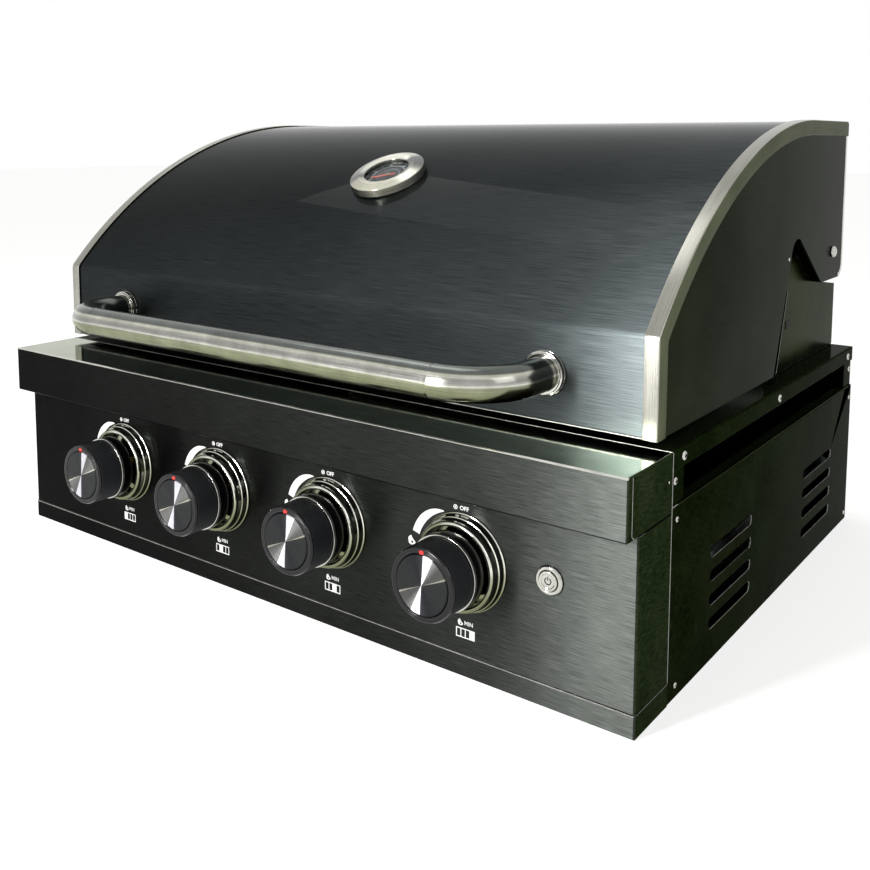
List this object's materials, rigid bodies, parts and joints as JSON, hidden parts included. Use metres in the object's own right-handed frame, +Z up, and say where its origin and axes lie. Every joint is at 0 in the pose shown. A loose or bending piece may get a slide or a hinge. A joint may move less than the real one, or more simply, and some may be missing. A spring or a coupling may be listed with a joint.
{
  "type": "built-in gas grill",
  "caption": "Built-in gas grill: a curved lid with a bent tube handle opens over cast grates; turned knobs on the front panel feed tube burners in a sheet steel body.",
  "frame": {"origin": "middle of the base, on the surface that the grill stands on", "axes": "+X to the right of someone who faces the controls, +Y to the back, +Z up"},
  "size_m": [0.7812, 0.6715, 0.475],
  "materials": {
    "black_steel": "black-coated stainless steel sheet, brushed on the front and the lid, glossy on the sides",
    "satin_steel": "satin stainless steel",
    "polished_steel": "polished stainless steel tube",
    "chrome": "bright chrome plating",
    "spun_aluminium": "spun face with circular brushing",
    "galvanised_steel": "zinc-coated steel sheet and pipe",
    "black_plastic": "moulded black grip, finely knurled",
    "brass": "machined brass",
    "cast_iron": "matt enamelled cast iron",
    "dial_face": "matt black dial",
    "needle_red": "red paint",
    "glass": "clear flat lens"
  },
  "bodies": {
    "body": {"base_strip": "black_steel", "control_panel": "black_steel", "front_ledge": "black_steel", "right_side_panel": "black_steel", "left_side_panel": "black_steel", "right_top_rail": "black_steel", "left_top_rail": "black_steel", "inner_frame": "black_steel", "rear_panel": "black_steel", "bottom_pan": "galvanised_steel", "firebox": "galvanised_steel", "rear_shield": "satin_steel", "right_hinge_bolt": "chrome", "left_hinge_bolt": "chrome", "control_ring_1": "chrome", "control_ring_2": "chrome", "control_ring_3": "chrome", "control_ring_4": "chrome", "gas_valve_1": "brass", "gas_valve_2": "brass", "gas_valve_3": "brass", "gas_valve_4": "brass", "gas_manifold": "galvanised_steel", "burner_1": "satin_steel", "burner_2": "satin_steel", "burner_3": "satin_steel", "burner_4": "satin_steel", "igniter_bar": "galvanised_steel", "flame_tamers": "satin_steel", "right_grate": "cast_iron", "left_grate": "cast_iron", "warming_rack": "chrome", "power_button_housing": "chrome", "ignition_module": "black_plastic"},
    "lid": {"lid_skin": "black_steel", "right_lid_side": "black_steel", "left_lid_side": "black_steel", "right_lid_trim": "satin_steel", "left_lid_trim": "satin_steel", "handle_tube": "polished_steel", "right_handle_collar": "polished_steel", "left_handle_collar": "polished_steel", "thermometer_bezel": "satin_steel", "thermometer_dial": "dial_face", "thermometer_lens": "glass"},
    "needle": {"thermometer_needle": "needle_red"},
    "stem_1": {"valve_stem_1": "brass"},
    "stem_2": {"valve_stem_2": "brass"},
    "stem_3": {"valve_stem_3": "brass"},
    "stem_4": {"valve_stem_4": "brass"},
    "knob_1": {"knob_1": "black_plastic", "knob_cap_1": "spun_aluminium"},
    "knob_2": {"knob_2": "black_plastic", "knob_cap_2": "spun_aluminium"},
    "knob_3": {"knob_3": "black_plastic", "knob_cap_3": "spun_aluminium"},
    "knob_4": {"knob_4": "black_plastic", "knob_cap_4": "spun_aluminium"},
    "button": {"power_button": "satin_steel"},
    "tray": {"drip_tray": "galvanised_steel"}
  },
  "joints": [
    {"name": "lid_hinge", "type": "hinge", "parent": "body", "child": "lid", "pos_m": [0, 0.231, 0.328], "axis": [-1, 0, 0], "range_deg": [0, 80]},
    {"name": "knob_1_press", "type": "slide", "parent": "body", "child": "stem_1", "axis": [0, 1, 0], "range_m": [0, 0.003], "stiffness_N_per_m": 800, "springref_m": -0.001},
    {"name": "knob_2_press", "type": "slide", "parent": "body", "child": "stem_2", "axis": [0, 1, 0], "range_m": [0, 0.003], "stiffness_N_per_m": 800, "springref_m": -0.001},
    {"name": "knob_3_press", "type": "slide", "parent": "body", "child": "stem_3", "axis": [0, 1, 0], "range_m": [0, 0.003], "stiffness_N_per_m": 800, "springref_m": -0.001},
    {"name": "knob_4_press", "type": "slide", "parent": "body", "child": "stem_4", "axis": [0, 1, 0], "range_m": [0, 0.003], "stiffness_N_per_m": 800, "springref_m": -0.001},
    {"name": "knob_1_turn", "type": "hinge", "parent": "stem_1", "child": "knob_1", "pos_m": [-0.2155, -0.295, 0.1004], "axis": [0, -1, 0], "range_deg": [0, 180]},
    {"name": "knob_2_turn", "type": "hinge", "parent": "stem_2", "child": "knob_2", "pos_m": [-0.0662, -0.295, 0.1004], "axis": [0, -1, 0], "range_deg": [0, 180]},
    {"name": "knob_3_turn", "type": "hinge", "parent": "stem_3", "child": "knob_3", "pos_m": [0.0831, -0.295, 0.1004], "axis": [0, -1, 0], "range_deg": [0, 180]},
    {"name": "knob_4_turn", "type": "hinge", "parent": "stem_4", "child": "knob_4", "pos_m": [0.2324, -0.295, 0.1004], "axis": [0, -1, 0], "range_deg": [0, 180]},
    {"name": "power_button_press", "type": "slide", "parent": "body", "child": "button", "axis": [0, 1, 0], "range_m": [0, 0.0016], "stiffness_N_per_m": 500, "springref_m": -0.001},
    {"name": "needle_turn", "type": "hinge", "parent": "lid", "child": "needle", "pos_m": [0, -0.1, 0.41235], "axis": [0, 0.4711, -0.8821], "range_deg": [0, 240], "stiffness_Nm_per_rad": 0.0002},
    {"name": "drip_tray_slide", "type": "slide", "parent": "body", "child": "tray", "axis": [0, 1, 0], "range_m": [0, 0.3]}
  ]
}
